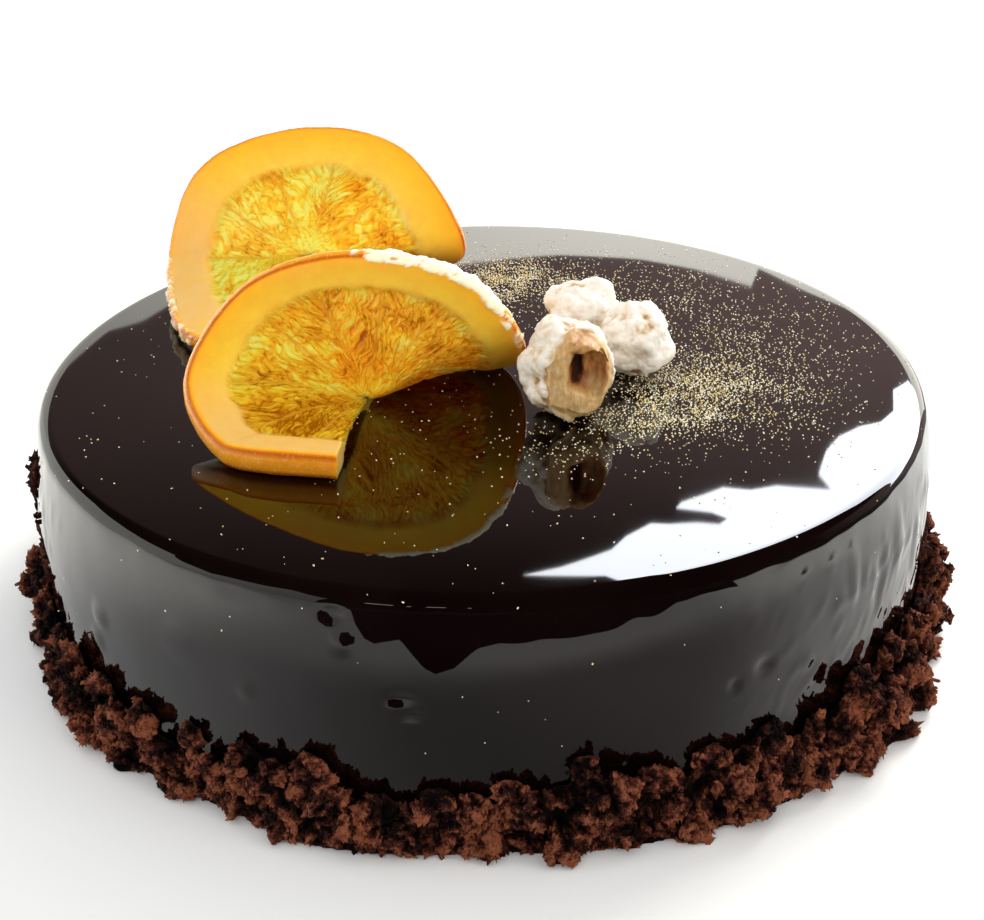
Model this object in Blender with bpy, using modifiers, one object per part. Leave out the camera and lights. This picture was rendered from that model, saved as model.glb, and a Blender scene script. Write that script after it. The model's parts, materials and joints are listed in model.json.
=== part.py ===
# A mirror-glazed chocolate cake with a border of sponge crumbs. Two candied orange slices and
# three sugared hazelnuts stand on it. Metres, +Z up, origin at the centre of the cake's flat base.
# The side that the toppings face is -Y.

import math
import random

import bmesh
import bpy
from mathutils import Vector, noise

MM = 0.001
GAP = 0.3 * MM  # left between two pieces that touch

# Driving dimensions of the cake. Its side swells to its widest line, the belly.
CAKE_RADIUS = 92.5 * MM
CAKE_HEIGHT = 50 * MM
BELLY_HEIGHT = 32 * MM
RIM_INSET = 1.5 * MM  # how much narrower the side is below its shoulder
FOOT_INSET = 1.5 * MM  # and at its foot
SHOULDER_RADIUS = 3 * MM
FOOT_RADIUS = 1 * MM
CAKE_SIDES = 96
SIDE_STEPS = 4
SHOULDER_STEPS = 4
GLAZE_COLOUR = (0.012, 0.005, 0.004)
GLAZE_ROUGHNESS = 0.06

# The crumb border's height against the cake, and how far it reaches out from the cake's foot, in
# mm, every 10 degrees from the front towards +X
CRUMB_HEIGHTS = (
    17, 21, 14, 19, 14, 18, 18, 15, 20, 17, 16, 18, 17, 15, 18, 16, 14, 17,
    18, 16, 14, 17, 18, 15, 17, 19, 18, 20, 19, 15, 17, 16, 17, 18, 19, 12,
)
CRUMB_REACH = (
    5, 7, 8, 9, 9, 12, 9, 6, 9, 9, 8, 8, 8, 9, 8, 7, 8, 9,
    8, 7, 8, 8, 9, 8, 7, 8, 8, 8, 7, 6, 8, 8, 5, 5, 8, 7,
)
CRUMB_COUNT = 144
CRUMB_SEED = 7
CRUMB_SIZES = (3.2 * MM, 5.6 * MM)  # radius of the smallest and the largest clump
CRUMB_STRETCH = (0.65, 1.2)  # how far a clump is pressed flat or long
CRUMB_ROWS = (14, 70, 42)  # degrees up the heap's section where a clump lies, taken in turn
CRUMB_ROW_SPREAD = 12  # degrees by which a clump strays from its row
CRUMB_SPACING_SPREAD = 0.3  # and from its place round the cake, as a share of the spacing
CRUMB_SHOWN = 0.8  # how much of a clump's radius stays inside the border's outline
CRUMB_CORE_SIDES = 84
CRUMB_CORE_SEGMENTS = 8
CRUMB_CORE_LOWERED = 3 * MM  # how far the core lies below the tops of its clumps
CRUMB_CORE_SUNK = 0.7 * MM  # how far its widest line lies below the table, which trims it
CRUMB_COLOUR = (0.085, 0.026, 0.012)
CRUMB_ROUGHNESS = 0.95
CUTTER_OVERRUN = 20 * MM  # how far the cutters reach past the border

# Candied orange slices: a disc slit along one radius, its two ends swung to the front and to the
# back. Each row is a point of the rim, in mm from the slice's centre, every 45 degrees round the
# disc from the front end of the slit to the back end.
SLICE_THICKNESS = 3.6 * MM
SLICE_CENTRE_THINNING = 0.35  # share of the thickness left at the slice's centre
SLICE_HOLE_SHARE = 0.06  # radius of the opening at the centre, as a share of the slice's
SLICE_STEPS_ROUND = 44
SLICE_STEPS_OUT = 6
SLICE_COLOUR = (0.83, 0.30, 0.02)
SLICE_ROUGHNESS = 0.3
SLICES = {
    "orange_slice_front": {
        "centre": (-23.0, -15.0, 54.0),
        "rim": (
            (-4.0, -33.3, -1.6), (-24.5, -27.5, -1.6), (-34.0, -10.5, 6.5),
            (-23.0, 0.0, 21.5), (-3.0, -1.5, 28.8), (18.5, -4.0, 25.5),
            (30.0, -0.5, 12.0), (28.5, 17.0, -1.6), (4.0, 33.0, -1.6),
        ),
    },
    "orange_slice_rear": {
        "centre": (-38.0, 38.0, 61.5),
        "rim": (
            (3.0, -33.0, -9.1), (-24.0, -25.5, -9.1), (-32.5, 7.0, -4.0),
            (-24.5, 12.5, 16.6), (-2.0, 15.5, 24.4), (21.0, 12.5, 20.4),
            (34.3, 3.5, 1.5), (25.0, 23.0, -9.1), (3.0, 33.0, -9.1),
        ),
    },
}

# Sugared hazelnuts: half sizes and place of the centre, in mm, the depth of the sugar's lumps as a
# share of the half sizes, and how often the ball's faces are divided
NUTS = {
    "hazelnut_split": {
        "half_size": (8.7, 8.8, 9.9), "centre": (16.9, -21.0, 60.2),
        "lumps": 0.20, "divisions": 4, "seed": 3,
    },
    "hazelnut_rear": {
        "half_size": (7.6, 6.8, 7.9), "centre": (21.2, 8.6, 58.2),
        "lumps": 0.30, "divisions": 3, "seed": 11,
    },
    "hazelnut_side": {
        "half_size": (7.2, 6.6, 7.6), "centre": (31.8, -2.6, 57.8),
        "lumps": 0.30, "divisions": 3, "seed": 23,
    },
}
NUT_LUMP_SPACING = 0.55  # distance between the sugar's lumps, as a share of the nut's half size
NUT_HOLLOW = {"half_size": (5.0, 6.8, 7.4), "centre": (19.4, -29.0, 60.4)}
NUT_HOLLOW_SIDES = 20
NUT_HOLLOW_ROWS = 12
NUT_COLOUR = (0.83, 0.76, 0.68)
NUT_ROUGHNESS = 0.7

MERGE_DISTANCE = 0.01 * MM
SHARP_ANGLE = 40  # degrees between two faces beyond which their edge is shaded sharp


def clear_scene():
    for old in list(bpy.data.objects):
        bpy.data.objects.remove(old, do_unlink=True)


def add_collection(name):
    collection = bpy.data.collections.new(name)
    bpy.context.scene.collection.children.link(collection)
    return collection


def add_material(name, colour, roughness):
    material = bpy.data.materials.new(name)
    material.use_nodes = True
    shader = material.node_tree.nodes["Principled BSDF"]
    shader.inputs["Base Color"].default_value = (*colour, 1)
    shader.inputs["Roughness"].default_value = roughness
    shader.inputs["Metallic"].default_value = 0
    material.diffuse_color = (*colour, 1)
    return material


def add_object(name, mesh, collection, material=None):
    piece = bpy.data.objects.new(name, mesh)
    collection.objects.link(piece)
    if material:
        mesh.materials.append(material)
    return piece


def mesh_from(bm, name):
    mesh = bpy.data.meshes.new(name)
    bm.to_mesh(mesh)
    bm.free()
    return mesh


def apply_modifiers(piece):
    graph = bpy.context.evaluated_depsgraph_get()
    made = bpy.data.meshes.new_from_object(piece.evaluated_get(graph))
    piece.modifiers.clear()
    piece.data = made


def catmull_rom(points, share):
    """The place at a share of the way along a smooth curve through evenly spaced points."""
    points = [Vector(p) for p in points]
    padded = [2 * points[0] - points[1], *points, 2 * points[-1] - points[-2]]
    along = min(max(share, 0.0), 1.0) * (len(points) - 1)
    first = min(int(along), len(points) - 2)
    t = along - first
    a, b, c, d = padded[first : first + 4]
    slope = (c - a) * t
    bend = (2 * a - 5 * b + 4 * c - d) * t**2 + (3 * b - a - 3 * c + d) * t**3
    return 0.5 * (2 * b + slope + bend)


def round_the_border(values, azimuth):
    """A list's value at an azimuth, eased between its entries and closed round the cake."""
    along = azimuth / math.tau * len(values)
    first = math.floor(along)
    t = along - first
    t = t * t * (3 - 2 * t)
    return MM * ((1 - t) * values[first % len(values)] + t * values[(first + 1) % len(values)])


def from_front(azimuth, radius, height):
    return Vector((radius * math.sin(azimuth), -radius * math.cos(azimuth), height))


def side_radius(height):
    """The cake's radius at a height of its side, which swells to the belly."""
    if height > BELLY_HEIGHT:
        shoulder = CAKE_HEIGHT - SHOULDER_RADIUS
        return CAKE_RADIUS - RIM_INSET * ((height - BELLY_HEIGHT) / (shoulder - BELLY_HEIGHT)) ** 2
    return CAKE_RADIUS - FOOT_INSET * ((BELLY_HEIGHT - height) / BELLY_HEIGHT) ** 2


def turned(name, profile, collection, material=None):
    """A profile of radii and heights, top to bottom, turned round the Z axis."""
    mesh = bpy.data.meshes.new(name)
    mesh.from_pydata([(x, 0, z) for x, z in profile], [(i, i + 1) for i in range(len(profile) - 1)], [])
    piece = add_object(name, mesh, collection, material)
    screw = piece.modifiers.new("turned", "SCREW")
    screw.axis = "Z"
    screw.angle = math.tau
    screw.steps = CAKE_SIDES
    screw.render_steps = CAKE_SIDES
    screw.use_merge_vertices = True
    screw.merge_threshold = MERGE_DISTANCE
    return piece


def side_profile(bottom, top, outset=0.0):
    """Radii and heights down the cake's side."""
    heights = [top + (bottom - top) * step / SIDE_STEPS for step in range(SIDE_STEPS + 1)]
    return [(side_radius(height) + outset, height) for height in heights]


def glazed_cake(collection):
    """The solid cake under its glaze, with a rounded shoulder."""
    wall_top = CAKE_HEIGHT - SHOULDER_RADIUS
    reach = side_radius(wall_top) - SHOULDER_RADIUS
    profile = [(0, CAKE_HEIGHT)]
    for step in range(SHOULDER_STEPS):
        angle = math.pi / 2 * (1 - step / SHOULDER_STEPS)
        profile.append((
            reach + SHOULDER_RADIUS * math.cos(angle), wall_top + SHOULDER_RADIUS * math.sin(angle)
        ))
    profile += side_profile(FOOT_RADIUS, wall_top)
    profile += [(side_radius(0) - FOOT_RADIUS, 0), (0, 0)]
    material = add_material("dark chocolate glaze", GLAZE_COLOUR, GLAZE_ROUGHNESS)
    return turned("glazed_cake", profile, collection, material)


def crumb_core(collection):
    """A low heap that leans on the cake, from a torus whose section is stretched to each azimuth's
    height and width. Its inner half lies inside the cake and is cut away later."""
    bpy.ops.mesh.primitive_torus_add(
        major_radius=2, minor_radius=1, major_segments=CRUMB_CORE_SIDES,
        minor_segments=CRUMB_CORE_SEGMENTS,
    )
    core = bpy.context.object
    core.name = "crumb_border"
    for owner in list(core.users_collection):
        owner.objects.unlink(core)
    collection.objects.link(core)
    for vertex in core.data.vertices:
        across = math.hypot(vertex.co.x, vertex.co.y) - 2
        azimuth = math.atan2(vertex.co.x, -vertex.co.y)
        height = round_the_border(CRUMB_HEIGHTS, azimuth) - CRUMB_CORE_LOWERED
        reach = round_the_border(CRUMB_REACH, azimuth) - CRUMB_CORE_LOWERED
        vertex.co = from_front(
            azimuth, side_radius(0) + reach * across, height * vertex.co.z - CRUMB_CORE_SUNK
        )
    return core


def crumb_clump(name, collection, place, size, rng):
    """One clump of sponge: a coarse ball, pressed out of round."""
    bm = bmesh.new()
    bmesh.ops.create_icosphere(bm, subdivisions=1, radius=size)
    clump = add_object(name, mesh_from(bm, name), collection)
    clump.scale = [rng.uniform(*CRUMB_STRETCH) for _ in range(3)]
    clump.rotation_euler = [rng.uniform(-math.pi, math.pi) for _ in range(3)]
    clump.location = place
    return clump


def crumb_border(collection, cutters):
    rng = random.Random(CRUMB_SEED)
    border = crumb_core(collection)
    border.data.materials.append(add_material("chocolate sponge crumbs", CRUMB_COLOUR, CRUMB_ROUGHNESS))
    clumps = add_collection("crumb_clumps")
    for i in range(CRUMB_COUNT):
        stray = rng.uniform(-CRUMB_SPACING_SPREAD, CRUMB_SPACING_SPREAD)
        azimuth = math.tau * (i + stray) / CRUMB_COUNT
        stray = rng.uniform(-CRUMB_ROW_SPREAD, CRUMB_ROW_SPREAD)
        rise = math.radians(CRUMB_ROWS[i % len(CRUMB_ROWS)] + stray)
        size = rng.uniform(*CRUMB_SIZES)
        height = round_the_border(CRUMB_HEIGHTS, azimuth) - CRUMB_SHOWN * size
        reach = round_the_border(CRUMB_REACH, azimuth) - CRUMB_SHOWN * size
        place = from_front(
            azimuth, side_radius(0) + reach * math.cos(rise), height * math.sin(rise)
        )
        crumb_clump(f"clump_{i}", clumps, place, size, rng)
    fused = border.modifiers.new("clumps", "BOOLEAN")
    fused.operation = "UNION"
    fused.operand_type = "COLLECTION"
    fused.collection = clumps
    fused.solver = "MANIFOLD"
    apply_modifiers(border)
    for clump in list(clumps.objects):
        bpy.data.objects.remove(clump, do_unlink=True)
    bpy.data.collections.remove(clumps)

    above = max(CRUMB_HEIGHTS) * MM + CUTTER_OVERRUN
    below = -CUTTER_OVERRUN
    around = CAKE_RADIUS + max(CRUMB_REACH) * MM + CUTTER_OVERRUN
    bore_profile = [(0, above), (side_radius(above) + GAP, above)]
    bore_profile += side_profile(0, above, GAP)[1:]
    bore_profile += [(side_radius(0) + GAP, below), (0, below)]
    bore = turned("border_bore", bore_profile, cutters)
    floor = turned("border_floor", [(0, 0), (around, 0), (around, below), (0, below)], cutters)
    for cutter in (bore, floor):
        cutter.hide_render = True
        cutter.display_type = "WIRE"
        cut = border.modifiers.new(cutter.name, "BOOLEAN")
        cut.operation = "DIFFERENCE"
        cut.object = cutter
        cut.solver = "MANIFOLD"
    apply_modifiers(border)
    keep_largest(border.data)
    return border


def keep_largest(mesh):
    """Leaves out loose scraps, and fills hollows that fusing has sealed."""
    bm = bmesh.new()
    bm.from_mesh(mesh)
    bmesh.ops.triangulate(bm, faces=bm.faces)
    left = set(bm.verts)
    islands = []
    while left:
        edge = [left.pop()]
        island = set(edge)
        while edge:
            for link in edge.pop().link_edges:
                for vertex in link.verts:
                    if vertex in left:
                        left.remove(vertex)
                        island.add(vertex)
                        edge.append(vertex)
        islands.append(island)
    largest = max(islands, key=len)
    bmesh.ops.delete(bm, geom=[v for v in bm.verts if v not in largest], context="VERTS")
    bm.to_mesh(mesh)
    bm.free()


def orange_slice(name, collection):
    """A slit disc, twisted: a flat grid is laid round the slice's centre, no lower than the glaze
    that it rests on, and given a thickness."""
    shape = SLICES[name]
    centre = Vector(shape["centre"])
    bm = bmesh.new()
    bmesh.ops.create_grid(bm, x_segments=SLICE_STEPS_ROUND, y_segments=SLICE_STEPS_OUT, size=0.5)
    outward = {}
    for vertex in bm.verts:
        share_round = vertex.co.x + 0.5
        share_out = SLICE_HOLE_SHARE + (1 - SLICE_HOLE_SHARE) * (vertex.co.y + 0.5)
        vertex.co = MM * (centre + share_out * catmull_rom(shape["rim"], share_round))
        vertex.co.z = max(vertex.co.z, CAKE_HEIGHT + GAP + SLICE_THICKNESS / 2)
        outward[vertex.index] = share_out
    bmesh.ops.triangulate(bm, faces=bm.faces)
    material = add_material(name.replace("_", " "), SLICE_COLOUR, SLICE_ROUGHNESS)
    piece = add_object(name, mesh_from(bm, name), collection, material)
    group = piece.vertex_groups.new(name="thickness")
    for index, share_out in outward.items():
        group.add([index], min(1.0, SLICE_CENTRE_THINNING + share_out), "REPLACE")
    wall = piece.modifiers.new("thickness", "SOLIDIFY")
    wall.thickness = SLICE_THICKNESS
    wall.offset = 0
    wall.vertex_group = "thickness"
    return piece


def lumpy_ball(name, nut):
    """A ball of sugar: an icosphere whose skin is pushed in and out by smooth noise. It stands on a
    small flat where it meets the glaze."""
    bm = bmesh.new()
    bmesh.ops.create_icosphere(bm, subdivisions=nut["divisions"], radius=1)
    for vertex in bm.verts:
        spot = vertex.co / NUT_LUMP_SPACING + Vector((nut["seed"],) * 3)
        swell = 1 + nut["lumps"] * noise.noise(spot)
        vertex.co = MM * Vector([
            c + h * v * swell for c, h, v in zip(nut["centre"], nut["half_size"], vertex.co)
        ])
        vertex.co.z = max(vertex.co.z, CAKE_HEIGHT + GAP)
    return mesh_from(bm, name)


def hazelnut(name, collection):
    material = add_material(name.replace("_", " "), NUT_COLOUR, NUT_ROUGHNESS)
    return add_object(name, lumpy_ball(name, NUTS[name]), collection, material)


def split_hazelnut(collection, cutters):
    """A nut broken open towards the front, with the hollow of its kernel."""
    piece = hazelnut("hazelnut_split", collection)
    bm = bmesh.new()
    bmesh.ops.create_uvsphere(
        bm, u_segments=NUT_HOLLOW_SIDES, v_segments=NUT_HOLLOW_ROWS, radius=1
    )
    for vertex in bm.verts:
        vertex.co = MM * Vector([
            c + h * v for c, h, v in zip(NUT_HOLLOW["centre"], NUT_HOLLOW["half_size"], vertex.co)
        ])
    hollow = add_object("kernel_hollow", mesh_from(bm, "kernel_hollow"), cutters)
    hollow.hide_render = True
    hollow.display_type = "WIRE"
    cut = piece.modifiers.new("kernel hollow", "BOOLEAN")
    cut.operation = "DIFFERENCE"
    cut.object = hollow
    return piece


def shade(piece):
    piece.data.shade_smooth()
    piece.data.set_sharp_from_angle(angle=math.radians(SHARP_ANGLE))


clear_scene()
cake_parts = add_collection("sachertorte_cake")
cutters = add_collection("cutters")
glazed_cake(cake_parts)
crumb_border(cake_parts, cutters)
for slice_name in SLICES:
    orange_slice(slice_name, cake_parts)
split_hazelnut(cake_parts, cutters)
for nut_name in ("hazelnut_rear", "hazelnut_side"):
    hazelnut(nut_name, cake_parts)
for part in cake_parts.objects:
    if part.name != "crumb_border":
        shade(part)
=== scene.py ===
# A chocolate cake under a dark mirror glaze, with candied orange slices, sugared hazelnuts and
# gold dust on top and sponge crumbs round its foot. Sizes below are in millimetres.
import json
import math

import bpy
import numpy as np
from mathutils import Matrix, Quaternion, Vector, noise

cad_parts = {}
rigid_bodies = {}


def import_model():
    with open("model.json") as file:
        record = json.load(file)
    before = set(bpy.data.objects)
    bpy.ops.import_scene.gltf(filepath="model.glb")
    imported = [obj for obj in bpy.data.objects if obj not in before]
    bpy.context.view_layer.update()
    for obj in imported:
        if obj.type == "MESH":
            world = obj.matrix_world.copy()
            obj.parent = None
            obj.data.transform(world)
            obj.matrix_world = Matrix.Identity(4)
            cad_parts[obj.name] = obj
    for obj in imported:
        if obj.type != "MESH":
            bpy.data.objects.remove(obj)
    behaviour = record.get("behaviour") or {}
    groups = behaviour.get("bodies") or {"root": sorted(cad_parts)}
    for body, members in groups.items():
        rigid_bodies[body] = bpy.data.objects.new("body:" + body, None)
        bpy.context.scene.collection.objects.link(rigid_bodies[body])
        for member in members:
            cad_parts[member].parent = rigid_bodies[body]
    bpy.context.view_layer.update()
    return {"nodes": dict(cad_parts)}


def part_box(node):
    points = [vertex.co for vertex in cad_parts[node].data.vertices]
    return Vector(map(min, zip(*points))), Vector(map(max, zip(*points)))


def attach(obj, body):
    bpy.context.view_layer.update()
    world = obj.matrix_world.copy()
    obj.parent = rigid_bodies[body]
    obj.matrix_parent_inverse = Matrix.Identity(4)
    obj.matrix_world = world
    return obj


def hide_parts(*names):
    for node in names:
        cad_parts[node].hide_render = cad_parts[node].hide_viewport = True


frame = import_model()
bpy.ops.object.select_all(action="DESELECT")

mm = 0.001
gap = 0.3  # the air that the frame leaves between touching pieces
cakeLow, cakeHigh = (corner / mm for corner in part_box("glazed_cake"))
cakeRadius = cakeHigh.x
glazeTop = cakeHigh.z


# Turns an sRGB hex colour into the linear numbers that shaders take.
def linear(hexColour):
    shares = [int(hexColour[i : i + 2], 16) / 255 for i in (1, 3, 5)]
    return [s / 12.92 if s <= 0.04045 else ((s + 0.055) / 1.055) ** 2.4 for s in shares] + [1.0]


# Adds one node. A socket takes a value, a hex colour or another node's output, which is linked.
def addNode(tree, kind, sockets=None, stops=None, **settings):
    node = tree.nodes.new(kind)
    for name, value in settings.items():
        setattr(node, name, value)
    for name, value in (sockets or {}).items():
        if isinstance(value, bpy.types.NodeSocket):
            tree.links.new(value, node.inputs[name])
        elif isinstance(value, str) and value.startswith("#"):
            node.inputs[name].default_value = linear(value)
        else:
            node.inputs[name].default_value = value
    if stops:
        ramp = node.color_ramp
        ramp.elements[0].position = stops[0][0]
        ramp.elements[1].position = stops[-1][0]
        for place, colour in stops[1:-1]:
            ramp.elements.new(place)
        for element, (place, colour) in zip(ramp.elements, stops):
            element.color = linear(colour)
    return node


# Starts a material: its tree, its shader linked to the output, and the piece's own coordinates.
def startMaterial(name, sockets):
    material = bpy.data.materials.new(name)
    material.use_nodes = True
    tree = material.node_tree
    tree.nodes.clear()
    shader = addNode(tree, "ShaderNodeBsdfPrincipled", sockets)
    addNode(tree, "ShaderNodeOutputMaterial", {"Surface": shader.outputs[0]})
    coords = addNode(tree, "ShaderNodeTexCoord")
    return material, tree, shader, coords


def applyModifier(piece, name, kind, **settings):
    bpy.context.view_layer.objects.active = piece
    modifier = piece.modifiers.new(name, kind)
    for key, value in settings.items():
        setattr(modifier, key, value)
    bpy.ops.object.modifier_apply(modifier=modifier.name)


def readVertices(piece):
    places = np.empty(len(piece.data.vertices) * 3, np.float32)
    piece.data.vertices.foreach_get("co", places)
    return places.reshape(-1, 3).astype(float) / mm


def writeVertices(piece, places):
    piece.data.vertices.foreach_set("co", (places * mm).astype(np.float32).ravel())
    piece.data.update()


def readNormals(piece):
    normals = np.empty(len(piece.data.vertices) * 3, np.float32)
    piece.data.vertex_normals.foreach_get("vector", normals)
    return normals.reshape(-1, 3).astype(float)


def writeAttribute(piece, name, values):
    values = np.asarray(values, np.float32)
    if values.ndim == 1:
        piece.data.attributes.new(name, "FLOAT", "POINT").data.foreach_set("value", values)
    else:
        attribute = piece.data.attributes.new(name, "FLOAT_VECTOR", "POINT")
        attribute.data.foreach_set("vector", values.ravel())


def smoothStep(low, high, value):
    share = np.clip((value - low) / (high - low), 0, 1)
    return share * share * (3 - 2 * share)


# A copy of an object with a mesh of its own.
def copyPiece(piece, name):
    copy = bpy.data.objects.new(name, piece.data.copy())
    bpy.context.scene.collection.objects.link(copy)
    return copy


# A copy of a frame node's solid, with its loose triangles joined.
def copyNode(node, name):
    piece = copyPiece(frame["nodes"][node], name)
    bpy.ops.object.select_all(action="DESELECT")
    piece.select_set(True)
    bpy.context.view_layer.objects.active = piece
    bpy.ops.object.mode_set(mode="EDIT")
    bpy.ops.mesh.select_all(action="SELECT")
    bpy.ops.mesh.remove_doubles(threshold=0.00001)
    bpy.ops.object.mode_set(mode="OBJECT")
    return piece


def finishPiece(piece, material, node=None):
    piece.data.materials.clear()
    piece.data.materials.append(material)
    piece.data.polygons.foreach_set("material_index", np.zeros(len(piece.data.polygons), np.int32))
    piece.data.shade_smooth()
    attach(piece, "root")
    if node:
        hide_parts(node)
    print(f"  {piece.name}: {sum(len(face.vertices) - 2 for face in piece.data.polygons)} triangles")


# Lays copies of small samples on a surface, each turned and sized at random, as one joined mesh.
# amount is in pieces per square millimetre, times a named attribute of the surface if one is given.
def scatter(name, surface, samples, amount, sizes, seed, weight=None):
    piece = copyPiece(surface, name)
    tree = bpy.data.node_groups.new(name, "GeometryNodeTree")
    tree.interface.new_socket("Geometry", in_out="INPUT", socket_type="NodeSocketGeometry")
    tree.interface.new_socket("Geometry", in_out="OUTPUT", socket_type="NodeSocketGeometry")
    start = addNode(tree, "NodeGroupInput")
    density = amount / mm**2
    if weight:
        named = addNode(tree, "GeometryNodeInputNamedAttribute", {"Name": weight}, data_type="FLOAT")
        density = addNode(
            tree, "ShaderNodeMath", {0: named.outputs[0], 1: density}, operation="MULTIPLY"
        ).outputs[0]
    spots = addNode(
        tree, "GeometryNodeDistributePointsOnFaces",
        {"Mesh": start.outputs[0], "Density": density, "Seed": seed},
    )
    turn = addNode(
        tree, "FunctionNodeRandomValue",
        {0: (0, 0, 0), 1: (math.tau, math.tau, math.tau), "Seed": seed + 1}, data_type="FLOAT_VECTOR",
    )
    size = addNode(
        tree, "FunctionNodeRandomValue", {2: sizes[0], 3: sizes[1], "Seed": seed + 2}, data_type="FLOAT"
    )
    kinds = addNode(
        tree, "GeometryNodeCollectionInfo",
        {"Collection": samples, "Separate Children": True, "Reset Children": True},
    )
    laid = addNode(
        tree, "GeometryNodeInstanceOnPoints",
        {
            "Points": spots.outputs["Points"], "Instance": kinds.outputs[0], "Pick Instance": True,
            "Rotation": turn.outputs[0], "Scale": size.outputs[1],
        },
    )
    real = addNode(tree, "GeometryNodeRealizeInstances", {"Geometry": laid.outputs[0]})
    addNode(tree, "NodeGroupOutput", {"Geometry": real.outputs[0]})
    applyModifier(piece, name, "NODES", node_group=tree)
    return piece


# Small irregular bodies to scatter, 2 mm across before they are sized and stretched, in a collection
# that isn't shown. detail 0 gives eight faces, 1 gives 20 and 2 gives 80.
def makeSamples(name, count, detail, lumps, stretch=(1, 1, 1)):
    samples = bpy.data.collections.new(name)
    for number in range(count):
        if detail:
            bpy.ops.mesh.primitive_ico_sphere_add(subdivisions=detail, radius=mm)
        else:
            bpy.ops.mesh.primitive_uv_sphere_add(segments=4, ring_count=2, radius=mm)
        sample = bpy.context.object
        sample.name = f"{name}_{number}"
        places = readVertices(sample)
        for index, place in enumerate(places):
            spot = Vector(place) * 1.3 + Vector((number * 7, 0, 0))
            places[index] *= 1 + lumps * noise.noise(spot) + 0.6 * lumps * noise.noise(spot * 2.3)
        writeVertices(sample, places * stretch)
        for owner in list(sample.users_collection):
            owner.objects.unlink(sample)
        samples.objects.link(sample)
    return samples


def removeSamples(samples):
    for sample in list(samples.objects):
        bpy.data.objects.remove(sample, do_unlink=True)
    bpy.data.collections.remove(samples)


# The camera stands where the photo was taken from.
cameraSetup = {
    "place": (0, -340.9, 205.35),
    "aim": (1.87, 0, 29.29),
    "rollDegrees": -0.684,
    "lens": 65.85,
    "sensor": 36,
}


def placeCamera():
    place = Vector(cameraSetup["place"]) * mm
    aim = Vector(cameraSetup["aim"]) * mm
    bpy.ops.object.camera_add(location=place)
    camera = bpy.context.object
    camera.data.lens = cameraSetup["lens"]
    camera.data.sensor_width = cameraSetup["sensor"]
    camera.data.clip_start = 0.01
    roll = Quaternion((0, 0, 1), math.radians(cameraSetup["rollDegrees"]))
    camera.rotation_mode = "QUATERNION"
    camera.rotation_quaternion = (aim - place).to_track_quat("-Z", "Y") @ roll
    bpy.context.scene.camera = camera


# A white table in a dim warm room. The glaze mirrors the bright backdrop behind the cake, a window
# high to the right of it, a small lamp in front and the dark floor beyond the table's front edge.
# Directions are degrees to the right of straight behind, and degrees above the horizon.
studio = {
    "distance": 40000,
    "backdropEdge": (
        (-40, 24), (-14.4, 23.6), (-12.8, 22.6), (-11.6, 22.4), (-10.6, 21.9), (0.7, 21.0),
        (2.7, 20.9), (5.4, 21.0), (7.4, 21.3), (9.3, 21.7), (9.5, 21.1), (11.1, 21.7), (12.1, 22.0),
        (13.3, 22.4), (14.2, 23.2), (30, 24), (38, 22),
    ),
    # a pale wall to the left, which only the shoulder and the side of the cake mirror
    "leftEdge": ((-142, 26), (-128, 38), (-114, 14), (-104, 20), (-92, 36), (-60, 38), (-42, 36), (-32, 22)),
    "leftLight": (0.9, 1.8),  # at its front end and beside the cake
    "leftReach": (-0.75, -0.1),
    "backdropLight": (1.5, 3.9),  # at its left and at its right
    "backdropReach": (-0.26, 0.12),  # where it has reached these, as the sine of the direction
    "window": (
        (1.4, 31.1), (2.8, 30.8), (4.7, 30.2), (5.2, 29.8), (6.1, 29.4), (6.8, 29.4), (7.8, 29.3),
        (8.6, 29.3), (8.9, 29.1), (8.3, 28.95), (7.0, 28.9), (7.2, 28.7), (8.0, 28.4), (8.7, 28.1),
        (9.7, 28.1), (10.6, 27.9), (12.5, 27.9), (12.0, 27.5), (12.2, 26.8), (12.6, 26.3),
        (13.3, 25.9), (14.0, 25.7), (14.4, 25.3), (14.3, 24.6), (14.9, 24.2), (17.0, 23.6),
        (30.0, 18.0), (66.0, 9.0), (61.0, 20.0), (54.0, 30.0), (46.0, 39.0), (30.0, 42.0),
        (14.0, 41.0), (9.0, 37.0), (6.5, 32.0), (4.5, 31.05),
    ),
    "windowLight": 13.0,
    # a row of small lamps in front: each one's two ends, and their heights
    "lamps": ((-157.3, -151.0), (-162.6, -161.4), (-170.5, -166.4), (-176.2, -175.2)),
    "lampHeights": (28, 32),
    "lampLight": 4.0,
    "roomLight": 0.03,
    "roomGlow": (0.16, 0.6),  # above the backdrop, at its left and at its right
    "domeLight": 1.0,
    # the near edge of the dark floor in front, outside the camera's view, left to right
    "frontEdge": (
        (-1900, -2600), (-86, -219), (-84, -215), (-70, -205), (-62, -222), (-43, -189), (-30, -169),
        (-22, -162), (-16, -172), (-5, -214), (10, -230), (59, -221), (99, -218), (168, -219),
        (200, -165), (2600, -1700),
    ),
    "dimPlace": (34, -128),  # the middle of the table's dimmer part, mirrored in the wall
    "dimSize": (128, 60),
    "dimShade": 0.40,
    "brightReach": (110, 220),  # how far aside the mirrored table grows brighter, from 15 to the right
    "brightGlow": 1.5,
    "farRight": (240, 275),  # where it fades into the room
    "tableSize": 6000,
    "tableFade": (500, 1500),  # how far off the camera sees it turn white
}


# A point far away in a direction.
def farPoint(aside, above):
    aside, above = math.radians(aside), math.radians(above)
    return studio["distance"] * np.array((
        math.sin(aside) * math.cos(above), math.cos(aside) * math.cos(above), math.sin(above)
    ))


def hideFromCamera(card):
    card.visible_camera = False
    card.visible_diffuse = False
    card.visible_shadow = False


def addCard(name, corners, material):
    bpy.ops.mesh.primitive_circle_add(vertices=len(corners), fill_type="NGON")
    card = bpy.context.object
    card.name = name
    writeVertices(card, np.array(corners, float))
    card.data.materials.append(material)
    hideFromCamera(card)
    return card


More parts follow.
